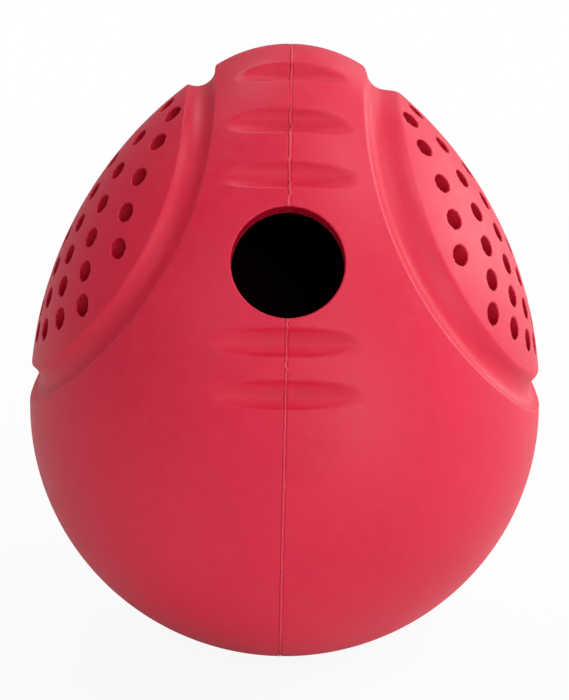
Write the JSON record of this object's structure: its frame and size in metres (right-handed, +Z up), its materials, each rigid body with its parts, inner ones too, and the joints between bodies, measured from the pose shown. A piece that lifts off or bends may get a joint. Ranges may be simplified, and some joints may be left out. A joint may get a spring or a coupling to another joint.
{
  "type": "treat dispensing ball",
  "caption": "Egg-shaped hollow rubber pet ball with a round treat opening, thumb grooves, and ringed side panels of round dimples.",
  "frame": {"origin": "centre of the flat foot that the ball stands on", "axes": "+Z up along the egg's axis, -Y out of the side that holds the treat opening, +X to the right of that side"},
  "size_m": [0.09, 0.0906, 0.1089],
  "materials": {
    "shell_rubber": "matte moulded natural rubber, coral red, with a faint fine bloom",
    "bond_rubber": "matte rubber of the same red, left as a thin raised parting line"
  },
  "bodies": {
    "root": {"left_shell": "shell_rubber", "right_shell": "shell_rubber", "bond_seam": "bond_rubber"}
  },
  "joints": []
}
